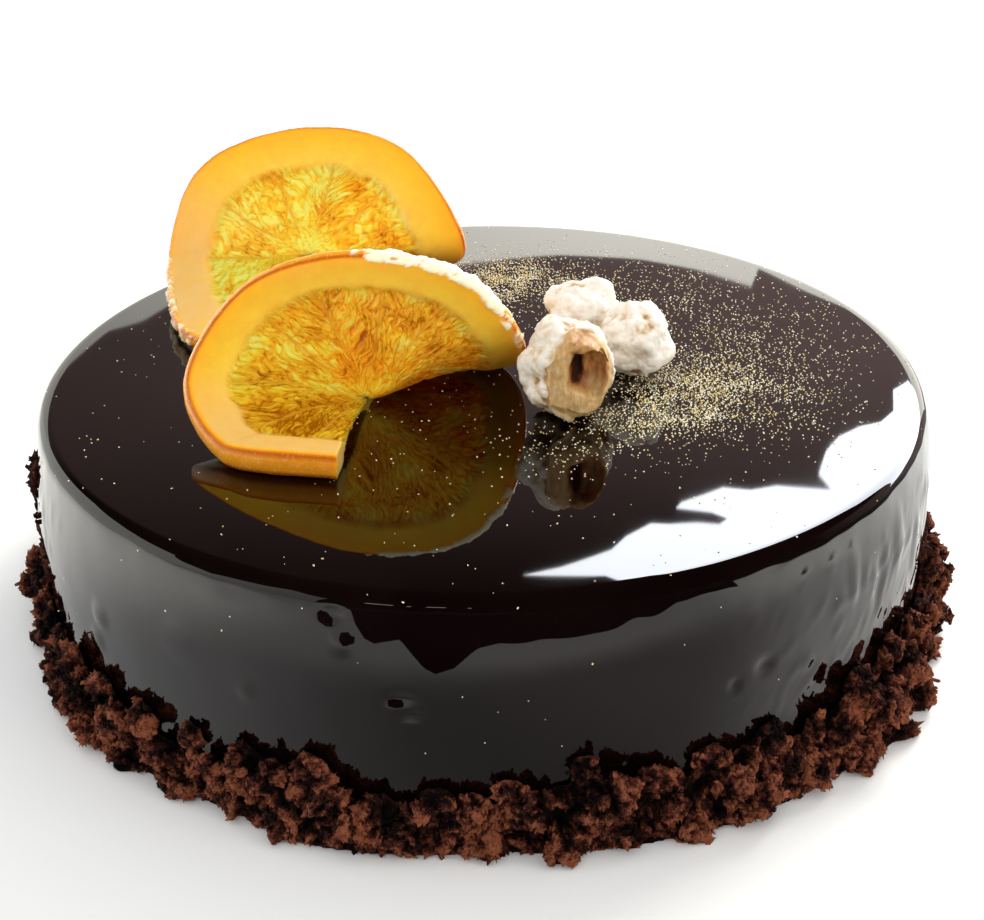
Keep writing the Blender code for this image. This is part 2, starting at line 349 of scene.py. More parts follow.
def addLightMaterial(name, colour, strength):
    return startMaterial(
        name, {"Base Color": "#000000", "Emission Color": colour, "Emission Strength": strength}
    )


# A wall round part of the room, as high as its own edge.
def addWall(name, edge, material):
    edge = np.array(edge, float)
    steps = 4 * round(edge[-1, 0] - edge[0, 0])
    bpy.ops.mesh.primitive_grid_add(x_subdivisions=steps, y_subdivisions=1, size=1)
    wall = bpy.context.object
    wall.name = name
    aside = np.linspace(edge[0, 0], edge[-1, 0], steps + 1)
    above = np.interp(aside, edge[:, 0], edge[:, 1])
    places = [farPoint(a, -1) for a in aside] + [farPoint(a, b) for a, b in zip(aside, above)]
    writeVertices(wall, np.array(places))
    wall.data.materials.append(material)
    hideFromCamera(wall)


# Cloth or plaster that grows brighter along an axis, which only mirrors see.
def makeGradedWall(name, colour, axis, reach, lights):
    material, tree, shader, coords = addLightMaterial(name, colour, 1.0)
    place = addNode(tree, "ShaderNodeSeparateXYZ", {"Vector": coords.outputs["Object"]})
    low, high = (share * studio["distance"] * mm for share in reach)
    light = addNode(
        tree, "ShaderNodeMapRange",
        {
            "Value": place.outputs[axis], "From Min": low, "From Max": high,
            "To Min": lights[0], "To Max": lights[1],
        },
        interpolation_type="SMOOTHSTEP",
    )
    tree.links.new(light.outputs[0], shader.inputs["Emission Strength"])
    return material


def lightRoom():
    world = bpy.data.worlds.new("studio")
    bpy.context.scene.world = world
    world.use_nodes = True
    tree = world.node_tree
    tree.nodes.clear()
    coords = addNode(tree, "ShaderNodeTexCoord")
    parts = addNode(tree, "ShaderNodeSeparateXYZ", {"Vector": coords.outputs["Generated"]})
    lower = addNode(
        tree, "ShaderNodeMapRange",
        {"Value": parts.outputs["Z"], "From Min": 0.54, "From Max": 0.40},
        interpolation_type="SMOOTHSTEP",
    )
    side = addNode(
        tree, "ShaderNodeMapRange",
        {
            "Value": parts.outputs["X"], "From Min": -0.3, "From Max": 0.2,
            "To Min": studio["roomGlow"][0], "To Max": studio["roomGlow"][1],
        },
    )
    behind = addNode(
        tree, "ShaderNodeMapRange", {"Value": parts.outputs["Y"], "From Min": -0.1, "From Max": 0.5}
    )
    glow = addNode(
        tree, "ShaderNodeMath", {0: lower.outputs[0], 1: side.outputs[0]}, operation="MULTIPLY"
    )
    strength = addNode(
        tree, "ShaderNodeMath", {0: glow.outputs[0], 1: behind.outputs[0], 2: studio["roomLight"]},
        operation="MULTIPLY_ADD",
    )
    mirrored = addNode(
        tree, "ShaderNodeBackground", {"Color": "#ffdcd6", "Strength": strength.outputs[0]}
    )
    dome = addNode(tree, "ShaderNodeBackground", {"Color": "#fafbff", "Strength": studio["domeLight"]})
    seen = addNode(tree, "ShaderNodeBackground", {"Color": "#ffffff", "Strength": 1.0})
    path = addNode(tree, "ShaderNodeLightPath")
    soft = addNode(
        tree, "ShaderNodeMixShader",
        {0: path.outputs["Is Diffuse Ray"], 1: mirrored.outputs[0], 2: dome.outputs[0]},
    )
    whole = addNode(
        tree, "ShaderNodeMixShader",
        {0: path.outputs["Is Camera Ray"], 1: soft.outputs[0], 2: seen.outputs[0]},
    )
    addNode(tree, "ShaderNodeOutputWorld", {"Surface": whole.outputs[0]})

    cloth = makeGradedWall(
        "backdrop cloth", "#fffbf0", "X", studio["backdropReach"], studio["backdropLight"]
    )
    addWall("backdrop", studio["backdropEdge"], cloth)
    plaster = makeGradedWall("pale plaster", "#fdfdf6", "Y", studio["leftReach"], studio["leftLight"])
    addWall("left_wall", studio["leftEdge"], plaster)
    daylight = addLightMaterial("window daylight", "#f4f8ff", studio["windowLight"])[0]
    addCard("window_light", [farPoint(*corner) for corner in studio["window"]], daylight)
    lamplight = addLightMaterial("lamp light", "#fff4e4", studio["lampLight"])[0]
    low, high = studio["lampHeights"]
    for number, (left, right) in enumerate(studio["lamps"]):
        corners = ((left, low), (right, low), (right, high), (left, high))
        addCard(f"front_lamp_{number}", [farPoint(*corner) for corner in corners], lamplight)
    dark = startMaterial("dark room floor", {"Base Color": "#010101", "Roughness": 1.0})[0]
    card = addCard("dark_front", [(x, y, 1) for x, y in studio["frontEdge"]], dark)
    card.visible_transmission = False

    # Painted white board: matte, with a faint cool mottle. Mirrors see it dimmer in front, where
    # the room shades it.
    white, tree, shader, coords = startMaterial("white table paint", {"Roughness": 0.7})
    mottle = addNode(tree, "ShaderNodeTexNoise", {"Vector": coords.outputs["Object"], "Scale": 2.0})
    shade = addNode(
        tree, "ShaderNodeValToRGB", {"Fac": mottle.outputs[0]}, [(0.3, "#f2f3f0"), (0.7, "#f8f7f2")]
    )
    centred = addNode(
        tree, "ShaderNodeMapping",
        {
            "Vector": coords.outputs["Object"],
            "Location": [-c / h for c, h in zip(studio["dimPlace"], studio["dimSize"])] + [0],
            "Scale": [1 / (h * mm) for h in studio["dimSize"]] + [1],
        },
    )
    away = addNode(tree, "ShaderNodeVectorMath", {0: centred.outputs[0]}, operation="LENGTH")
    dim = addNode(
        tree, "ShaderNodeMapRange",
        {
            "Value": away.outputs["Value"], "From Min": 0.35, "From Max": 1.15,
            "To Min": 1 - studio["dimShade"], "To Max": 0.0,
        },
        interpolation_type="SMOOTHSTEP",
    )
    path = addNode(tree, "ShaderNodeLightPath")
    share = addNode(
        tree, "ShaderNodeMath", {0: dim.outputs[0], 1: path.outputs["Is Glossy Ray"]},
        operation="MULTIPLY",
    )
    colour = addNode(
        tree, "ShaderNodeMix", {0: share.outputs[0], 6: shade.outputs[0], 7: "#000000"},
        data_type="RGBA",
    )
    place = addNode(tree, "ShaderNodeSeparateXYZ", {"Vector": coords.outputs["Object"]})
    low, high = (reach * mm for reach in studio["farRight"])
    far = addNode(
        tree, "ShaderNodeMapRange", {"Value": place.outputs["X"], "From Min": low, "From Max": high}
    )
    lost = addNode(
        tree, "ShaderNodeMath", {0: far.outputs[0], 1: path.outputs["Is Glossy Ray"]},
        operation="MULTIPLY",
    )
    ended = addNode(
        tree, "ShaderNodeMix", {0: lost.outputs[0], 6: colour.outputs[2], 7: "#000000"},
        data_type="RGBA",
    )
    tree.links.new(ended.outputs[2], shader.inputs["Base Color"])
    moved = addNode(tree, "ShaderNodeMath", {0: place.outputs["X"], 1: 15 * mm}, operation="SUBTRACT")
    aside = addNode(tree, "ShaderNodeMath", {0: moved.outputs[0]}, operation="ABSOLUTE")
    low, high = (reach * mm for reach in studio["brightReach"])
    bright = addNode(
        tree, "ShaderNodeMapRange",
        {
            "Value": aside.outputs[0], "From Min": low, "From Max": high,
            "To Max": studio["brightGlow"],
        },
        interpolation_type="SMOOTHSTEP",
    )
    behind = addNode(
        tree, "ShaderNodeMapRange",
        {"Value": place.outputs["Y"], "From Min": -260 * mm, "From Max": -120 * mm},
    )
    near = addNode(
        tree, "ShaderNodeMath", {0: bright.outputs[0], 1: behind.outputs[0]}, operation="MULTIPLY"
    )
    mirroredOnly = addNode(
        tree, "ShaderNodeMath", {0: path.outputs["Is Glossy Ray"], 1: lost.outputs[0]},
        operation="SUBTRACT",
    )
    glow = addNode(
        tree, "ShaderNodeMath", {0: near.outputs[0], 1: mirroredOnly.outputs[0]}, operation="MULTIPLY"
    )
    off = addNode(tree, "ShaderNodeVectorMath", {0: coords.outputs["Object"]}, operation="LENGTH")
    low, high = (reach * mm for reach in studio["tableFade"])
    faded = addNode(
        tree, "ShaderNodeMapRange",
        {"Value": off.outputs["Value"], "From Min": low, "From Max": high, "To Max": 1.2},
    )
    seen = addNode(
        tree, "ShaderNodeMath",
        {0: faded.outputs[0], 1: path.outputs["Is Camera Ray"], 2: glow.outputs[0]},
        operation="MULTIPLY_ADD",
    )
    shader.inputs["Emission Color"].default_value = linear("#f8f6ec")
    tree.links.new(seen.outputs[0], shader.inputs["Emission Strength"])
    bpy.ops.mesh.primitive_plane_add(size=studio["tableSize"] * mm, location=(0, 0, -0.02 * mm))
    table = bpy.context.object
    table.name = "table"
    table.data.materials.append(white)

    bpy.context.scene.view_settings.view_transform = "Standard"


def addSoftbox(name, place, aim, size, power, colour):
    bpy.ops.object.light_add(type="AREA", location=Vector(place) * mm)
    lamp = bpy.context.object
    lamp.name = name
    lamp.rotation_mode = "QUATERNION"
    lamp.rotation_quaternion = (Vector(aim) - Vector(place)).to_track_quat("-Z", "Y")
    lamp.data.size = size * mm
    lamp.data.energy = power
    lamp.data.color = linear(colour)[:3]
    lamp.visible_glossy = False


placeCamera()
lightRoom()
addSoftbox("back_softbox", (900, 1300, 900), (0, 0, 50), 900, 34, "#fffaf2")
addSoftbox("front_softbox", (-500, -1200, 1300), (0, 0, 30), 900, 2, "#f8faff")
addSoftbox("left_softbox", (-1400, -100, 500), (0, 0, 30), 900, 3, "#f8faff")
addSoftbox("right_softbox", (1300, -700, 500), (0, 0, 30), 900, 6, "#fffaf2")
print("studio ready")


# The glaze: a poured skin. Its side swells to the belly and turns over a soft shoulder to the top.
glaze = {
    "sides": 640,
    "belly": 32,
    "rimIn": 1.5,  # how much narrower the side is below the shoulder
    "footIn": 1.5,  # and at the foot
    "foot": 1.0,
    "shoulder": 3.0,
    "shoulderSteps": 22,
    "wallStep": 1.0,
    "topStep": 2.2,
    "waves": 0.14,  # depth of the wall's slow unevenness
    "rimWaves": 0.16,  # and of the shoulder's
    "streaks": 0.12,  # depth of the runs down the wall, strongest to the right
    "topWaves": 0.012,
    # slanted ripples on its right side and fainter ones on its left: from and to in degrees, depth
    "ripples": ((32, 82, 0.48), (-86, -60, 0.4)),
    "rippleSize": (2.6, 4.6),
    # dents and bubbles on the wall: degrees from the front to the right, height, half width,
    # half height, depth
    "dents": (
        (-50.1, 29, 2.2, 2.8, 0.42), (-51.5, 22.5, 2.0, 2.6, 0.38), (-16.3, 46, 2.1, 1.5, -0.38),
        (-15.3, 40.8, 1.6, 1.6, 0.36), (-9, 31.4, 2.8, 1.3, -0.6), (-8, 28.3, 2.3, 0.9, -0.4),
        (-26.9, 27.8, 1.6, 1.8, 0.3), (-36, 33, 3.5, 4.0, 0.15), (-68, 33, 2.4, 6.0, 0.2),
        (27.8, 26.8, 1.1, 1.2, -0.5), (31.8, 28.7, 2.0, 1.6, -0.5), (46, 38, 1.5, 6.0, 0.3),
        (52, 33, 2.2, 6.0, -0.3), (57, 37, 2.0, 7.0, 0.35), (64, 30, 2.4, 7.0, 0.35),
        (70, 33, 2.0, 6.0, -0.3), (150, 30, 2.5, 3.0, -0.4), (-130, 28, 2.0, 3.5, 0.3),
        (110, 34, 2.2, 5.0, 0.3), (-100, 25, 1.6, 2.0, -0.4), (172, 24, 1.4, 1.4, 0.3),
    ),
}


def sideRadius(height):
    wallTop = glazeTop - glaze["shoulder"]
    if height > glaze["belly"]:
        return cakeRadius - glaze["rimIn"] * ((height - glaze["belly"]) / (wallTop - glaze["belly"])) ** 2
    return cakeRadius - glaze["footIn"] * (1 - height / glaze["belly"]) ** 2


# Radii and heights from the foot up the side and over the shoulder, whose tilt eases in and out.
def glazeProfile():
    foot, wallTop = glaze["foot"], glazeTop - glaze["shoulder"]
    rows = round((wallTop - foot) / glaze["wallStep"])
    points = [(sideRadius(0) - foot, 0), (sideRadius(0) - 0.3 * foot, 0.3 * foot)]
    heights = [foot + (wallTop - foot) * row / rows for row in range(rows + 1)]
    points += [(sideRadius(height), height) for height in heights]
    start = math.atan(2 * glaze["rimIn"] / (wallTop - glaze["belly"]))
    steps = glaze["shoulderSteps"]
    shares = [(step + 0.5) / steps for step in range(steps)]
    tilts = [start + (math.pi / 2 - start) * s * s * (3 - 2 * s) for s in shares]
    length = glaze["shoulder"] / sum(math.cos(tilt) for tilt in tilts)
    for tilt in tilts:
        radius, height = points[-1]
        points.append((radius - length * math.sin(tilt), height + length * math.cos(tilt)))
    reach = points[-1][0]
    rings = round(reach / glaze["topStep"])
    return points + [(reach * (1 - ring / rings), glazeTop) for ring in range(1, rings)]


def pourGlaze():
    profile = glazeProfile()
    bpy.ops.mesh.primitive_circle_add(
        vertices=glaze["sides"], radius=profile[0][0] * mm, fill_type="NGON"
    )
    piece = bpy.context.object
    piece.name = "mirror_glaze"
    bpy.ops.object.mode_set(mode="EDIT")
    for (radius, height), (nextRadius, nextHeight) in zip(profile, profile[1:]):
        bpy.ops.mesh.extrude_region_move(
            TRANSFORM_OT_translate={"value": (0, 0, (nextHeight - height) * mm)}
        )
        bpy.ops.transform.resize(value=(nextRadius / radius, nextRadius / radius, 1))
    bpy.ops.mesh.merge(type="CENTER")
    bpy.ops.mesh.select_all(action="SELECT")
    bpy.ops.mesh.normals_make_consistent(inside=False)
    bpy.ops.object.mode_set(mode="OBJECT")

    places = readVertices(piece)
    normals = readNormals(piece)
    azimuths = np.arctan2(places[:, 0], -places[:, 1])
    for index, (place, azimuth) in enumerate(zip(places.copy(), azimuths)):
        radius = math.hypot(place[0], place[1])
        if radius < 1 or place[2] < glaze["foot"]:
            continue
        below = glazeTop - place[2]
        flat = 1 - smoothStep(0.0, glaze["shoulder"], below)
        if flat < 1:
            onWall = cakeRadius * Vector((place[0] / radius, place[1] / radius, 0))
            spot = onWall + Vector((0, 0, place[2]))
            runs = 0.4 + 0.6 * max(0, math.sin(azimuth - 0.2))
            streak = Vector((azimuth * cakeRadius / 6 + 0.3 * place[2] / 6, place[2] / 32, 3))
            push = glaze["waves"] * noise.noise(spot / 24) + glaze["streaks"] * runs * noise.noise(streak)
            wide, high = glaze["rippleSize"]
            for start, end, depth in glaze["ripples"]:
                within = (math.degrees(azimuth) - (start + end) / 2) / (end - start) * 2
                if abs(within) < 1.5:
                    along, up = azimuth * cakeRadius, place[2]
                    slanted = Vector(((along - 0.4 * up) / wide, up / high, 8))
                    depth *= math.exp(-(within**4)) * smoothStep(1.5, 5, below - glaze["shoulder"])
                    push += depth * max(0, noise.noise(slanted) - 0.05)
            rim = math.exp(-(((below - glaze["shoulder"]) / 2.5) ** 2))
            push += glaze["rimWaves"] * rim * (noise.noise(onWall / 11) + 0.5 * noise.noise(onWall / 5))
            for degrees, height, halfWidth, halfHeight, depth in glaze["dents"]:
                across = (azimuth - math.radians(degrees)) * cakeRadius / halfWidth
                up = (place[2] - height) / halfHeight
                away = across * across + up * up
                if away < 5:
                    push += depth * math.exp(-away * away)
            places[index] += normals[index] * push * (1 - flat)
        spot = Vector((place[0] / 30, place[1] / 30, 0))
        places[index][2] += glaze["topWaves"] * noise.noise(spot) * flat
    writeVertices(piece, places)

    # Chocolate mirror glaze, poured: near black, slightly reddish, with a crisp wet gloss.
    material, tree, shader, coords = startMaterial("chocolate mirror glaze", {"IOR": 1.46})
    cloud = addNode(
        tree, "ShaderNodeTexNoise", {"Vector": coords.outputs["Object"], "Scale": 1 / (18 * mm)}
    )
    gloss = addNode(
        tree, "ShaderNodeMapRange", {"Value": cloud.outputs[0], "To Min": 0.01, "To Max": 0.03}
    )
    tree.links.new(gloss.outputs[0], shader.inputs["Roughness"])
    colour = addNode(
        tree, "ShaderNodeValToRGB", {"Fac": cloud.outputs[0]}, [(0.3, "#090202"), (0.7, "#0d0404")]
    )
    tree.links.new(colour.outputs[0], shader.inputs["Base Color"])
    finishPiece(piece, material, "glazed_cake")
    return piece


glazePiece = pourGlaze()
print("glaze poured")


# Candied orange slices: a disc slit along one radius, its two ends swung to the front and to the
# back. Each row of rim is a point from the slice's centre, every 45 degrees round the disc.
slices = {
    "orange_slice_front": {
        "centre": (-23.0, -15.0, 54.0),
        "rim": (
            (-4.0, -33.3, -1.6), (-24.5, -27.5, -1.6), (-34.0, -10.5, 6.5),
            (-23.0, 0.0, 21.5), (-3.0, -1.5, 28.8), (18.5, -4.0, 25.5),
            (30.0, -0.5, 12.0), (28.5, 17.0, -1.6), (4.0, 33.0, -1.6),
        ),
        "pulp": 0.77,  # radius of the pulp as a share of the slice's
        "stoutness": 1.42,  # how much thicker the band is at the front end of the slit
        # stretches of the rim, as shares of the way round, and how thickly sugar lies on them
        "sugar": ((0.52, 0.70, 1.0), (0.70, 0.76, 0.4)),
        "sheenStretch": (-0.1, 0.22),  # the stretch whose band is painted paler: a painted sheen, where the band lies flat
        "shaded": (0.0, 0.20, 0.34),  # the stretch whose pulp is painted browner as shade, and by how much
        "tone": 0.12,
        "sag": 2.7,  # how far the pulp's middle hangs down
        "seed": 5,
    },
    "orange_slice_rear": {
        "centre": (-38.0, 38.0, 61.5),
        "rim": (
            (3.0, -33.0, -9.1), (-24.0, -25.5, -9.1), (-32.5, 7.0, -4.0),
            (-24.5, 12.5, 16.6), (-2.0, 15.5, 24.4), (21.0, 12.5, 20.4),
            (34.3, 3.5, 1.5), (25.0, 23.0, -9.1), (3.0, 33.0, -9.1),
        ),
        "pulp": 0.70,
        "stoutness": 1.0,
        "sugar": ((0.12, 0.26, 0.2),),
        "sheenStretch": (0.1, 0.32),
        "shaded": (0.64, 0.74, 0.16),
        "tone": 0.30,
        "sag": 0.0,
        "seed": 9,
    },
}
sliceMake = {
    "thickness": 3.6,
    "hole": 0.012,
    "stepsRound": 420,
    "stepsOut": 84,
    "rimCuts": 6,
    "rimBulge": 0.45,
    "radius": 33,
    "segments": 10,
    "sac": (1.25, 3.6),  # width and length of a juice sac
    "sacDepth": 0.42,
    "pulpSunk": 0.3,
}


# Evenly spaced points on a smooth curve through the rim's own points.
def rimCurve(points, steps):
    points = np.array(points)
    padded = np.vstack((2 * points[0] - points[1], points, 2 * points[-1] - points[-2]))
    along = np.linspace(0, len(points) - 1, steps + 1)
    first = np.minimum(along.astype(int), len(points) - 2)
    t = (along - first)[:, None]
    a, b, c, d = (padded[first + i] for i in range(4))
    return 0.5 * (2 * b + (c - a) * t + (2 * a - 5 * b + 4 * c - d) * t**2 + (3 * b - a - 3 * c + d) * t**3)


# 1 within a stretch of the rim, easing to 0 past its ends.
def stretchShare(start, end, shareRound):
    soft = 0.012
    return smoothStep(start - soft, start + soft, shareRound) * (
        1 - smoothStep(end - soft, end + soft, shareRound)
    )


# Where a place lies in its own segment of pulp, in millimetres aside and out. The juice sacs lie
# side by side, and each segment's lean their own way and wander a little.
def fibrePlace(shareRound, shareOut, seed):
    turn = shareRound * sliceMake["segments"]
    turn += 0.16 * noise.noise(Vector((shareRound * 9, shareOut * 2, seed)))
    segment = round(turn)
    out = shareOut * sliceMake["radius"]
    angle = (turn - segment) / sliceMake["segments"] * math.tau
    around = shareRound * math.tau
    flat = Vector((out * math.cos(around), out * math.sin(around), seed))
    aside = out * math.sin(angle) + 1.5 * noise.noise(flat / 5) + 0.5 * noise.noise(flat / 1.7)
    aside += 0.5 * math.sin(segment * 2.4 + seed) * (out - 14)
    along = out * math.cos(angle) + 1.2 * noise.noise(flat / 4 + Vector((0, 0, 30)))
    return aside, along, segment, abs(angle) * out, flat


# Height and tone of the pulp at a place on the slice: juice sacs split into segments by thin walls.
def pulpAt(fibre, shareRound, shareOut, seed):
    aside, along, segment, fromMiddle, flat = fibre
    width, length = sliceMake["sac"]
    distances, cells = noise.voronoi(Vector((aside / width, along / length, 7 * segment + seed)))
    sac = min(1.0, 2.2 * (distances[1] - distances[0]))
    tone = noise.noise(Vector(cells[0]) * 3.7)
    fine = noise.noise(Vector((aside / 0.4, along / 1.3, 3 * segment)))
    crinkle = 1 - 3.2 * abs(noise.noise(flat / 1.6))
    outer = smoothStep(0.1, 0.4, shareOut)
    reach = math.pi / sliceMake["segments"] * shareOut * sliceMake["radius"]
    wall = math.exp(-(((reach - fromMiddle) / 0.45) ** 2)) * outer
    patch = noise.noise(flat / 6 + Vector((0, 0, 8)))
    height = sliceMake["sacDepth"] * (sac - 0.6) * outer + (0.12 * fine + 0.10 * crinkle) * outer
    shade = 0.20 * (sac - 0.7) + 0.24 * tone + 0.10 * fine + 0.06 * crinkle
    return height + 0.1 * wall, 0.47 + 0.34 * patch + shade * (0.35 + 0.65 * outer), 0.7 * wall


# Marks each vertex with its share of the way round, its share of the way out and its side, -1 to 1,
# then divides the narrow faces that join the two sides, so that they can be rounded.
def divideRim(piece, columns, rows, out):
    count = columns * rows
    index = np.arange(2 * count)
    row, column = index % count // columns, index % columns
    spots = np.stack((column / (columns - 1), out[row], np.where(index < count, 1.0, -1.0)), axis=1)
    writeAttribute(piece, "spot", spots)
    ends = np.empty(len(piece.data.edges) * 2, np.int32)
    piece.data.edges.foreach_get("vertices", ends)
    ends = np.sort(ends.reshape(-1, 2), axis=1)
    piece.data.vertices.foreach_set("select", np.zeros(len(index), bool))
    piece.data.polygons.foreach_set("select", np.zeros(len(piece.data.polygons), bool))
    edgeRow, edgeColumn = row[ends[:, 0]], column[ends[:, 0]]
    outer = (edgeRow == rows - 1) | (edgeColumn == 0) | (edgeColumn == columns - 1)
    piece.data.edges.foreach_set("select", outer & (ends[:, 1] - ends[:, 0] == count))
    bpy.context.tool_settings.mesh_select_mode = (False, True, False)
    bpy.ops.object.mode_set(mode="EDIT")
    bpy.ops.mesh.subdivide(number_cuts=sliceMake["rimCuts"])
    bpy.ops.object.mode_set(mode="OBJECT")
    spots = np.empty(len(piece.data.vertices) * 3, np.float32)
    piece.data.attributes["spot"].data.foreach_get("vector", spots)
    return spots.reshape(-1, 3).astype(float)


def makeSlice(name):
    shape = slices[name]
    seed = shape["seed"]
    columns, rows = sliceMake["stepsRound"] + 1, sliceMake["stepsOut"] + 1
    bpy.ops.mesh.primitive_grid_add(x_subdivisions=columns - 1, y_subdivisions=rows - 1, size=1)
    piece = bpy.context.object
    piece.name = "candied_" + name
    out = sliceMake["hole"] + (1 - sliceMake["hole"]) * np.linspace(0, 1, rows)
    turns = np.linspace(0, 1, columns)
    band = smoothStep(shape["pulp"] - 0.06, shape["pulp"] + 0.05, out)
    pulpThickness = 0.38 + 0.26 * out
    thickness = sliceMake["thickness"] * (pulpThickness + (1 - pulpThickness) * band)[:, None]
    stout = (shape["stoutness"] - 1) * (1 - smoothStep(0.06, 0.26, turns))[None]
    fromSlit = np.minimum(turns, 1 - turns)[None] * out[:, None]
    cut = 0.7 + 0.3 * np.maximum(band[:, None], smoothStep(0, 0.02, fromSlit))
    thickness = thickness * (1 + stout * band[:, None]) * cut
    places = np.array(shape["centre"]) + out[:, None, None] * rimCurve(shape["rim"], columns - 1)[None]
    places[:, :, 2] -= shape["sag"] * (1 - smoothStep(0, 0.5, out))[:, None]
    places[:, :, 2] = np.maximum(places[:, :, 2], glazeTop + gap + thickness / 2)
    writeVertices(piece, places.reshape(-1, 3))
    thickness[-1] *= 0.80
    thickness[-2] *= 0.95
    most = thickness.max()
    group = piece.vertex_groups.new(name="thickness")
    for index, share in enumerate((thickness / most).ravel()):
        group.add([index], share, "REPLACE")
    applyModifier(
        piece, "thickness", "SOLIDIFY", thickness=most * mm, offset=0, vertex_group="thickness"
    )

    spots = divideRim(piece, columns, rows, out)
    places = readVertices(piece)
    normals = readNormals(piece)
    count = len(places)
    rimShare = smoothStep(0.955, 0.995, spots[:, 1])
    onWall = spots[:, 1] > 0.9999
    sugar = sum(amount * stretchShare(a, b, spots[:, 0]) for a, b, amount in shape["sugar"]) * rimShare
    # painted shade: the pulp is painted browner along one stretch of the rim
    shadeStart, shadeEnd, shadeDepth = shape["shaded"]
    shaded = shadeDepth * smoothStep(shadeStart - 0.1, shadeStart + 0.1, spots[:, 0])
    shaded *= 1 - smoothStep(shadeEnd - 0.12, shadeEnd + 0.12, spots[:, 0])
    tones, walls, heights, bands = (np.zeros(count) for _ in range(4))
    fibres = np.zeros((count, 3))
    for index, (shareRound, shareOut, side) in enumerate(spots):
        turn = shareRound * sliceMake["segments"]
        scallop = abs(turn - round(turn)) * 2
        edge = shape["pulp"] - 0.02 * (1 - scallop) ** 3
        edge += 0.03 * noise.noise(Vector((shareRound * 30, 0, seed)))
        bands[index] = smoothStep(edge - 0.03, edge + 0.035, shareOut)
        fibre = fibrePlace(shareRound, shareOut, seed)
        fibres[index] = (fibre[0], fibre[1], 5 * fibre[2] + side)
        spot = Vector(places[index])
        even = 0.10 * noise.noise(spot / 3.5)
        height, tones[index], walls[index] = pulpAt(fibre, shareRound, shareOut, seed)
        even += (1 - bands[index]) * (height - sliceMake["pulpSunk"])
        if onWall[index]:
            even += sliceMake["rimBulge"] * (1 - side * side) + 0.08 * noise.noise(spot / 1.2)
        if sugar[index] > 0:
            lumps = noise.noise(spot / 2.6) + 0.7 * noise.noise(spot / 1.1) + 0.4 * noise.noise(spot / 0.5)
            sugar[index] = smoothStep(0.18, 0.5, 0.75 * sugar[index] + 0.75 * lumps)
            even += sugar[index] * (0.2 + 0.5 * lumps)
        heights[index] = even
    # the pulp's tone, less the painted shade
    tones += shape["tone"] - shaded * smoothStep(0.05, 0.3, spots[:, 1])
    # painted light: the pulp is painted paler next to the band, partly to hide the shade where it steps down
    # to it
    tones += 0.12 * smoothStep(shape["pulp"] - 0.14, shape["pulp"] - 0.01, spots[:, 1])
    places += normals * heights[:, None]
    places[:, 2] = np.maximum(places[:, 2], glazeTop + gap)
    writeVertices(piece, places)
    writeAttribute(piece, "pulpTone", tones)
    writeAttribute(piece, "pulpWall", walls)
    writeAttribute(piece, "bandShare", bands)
    writeAttribute(piece, "sugarShare", sugar)
    writeAttribute(piece, "fibre", fibres)
    # painted sheen: the band is painted paler and creamier along one stretch of the rim
    sheenStart, sheenEnd = shape["sheenStretch"]
    paintedSheen = smoothStep(sheenStart - 0.04, sheenStart + 0.04, spots[:, 0])
    paintedSheen *= 1 - smoothStep(sheenEnd - 0.08, sheenEnd + 0.08, spots[:, 0])
    writeAttribute(piece, "paintedSheenShare", paintedSheen * (spots[:, 1] < 0.97))
    finishPiece(piece, candiedOrange, name)
    return piece


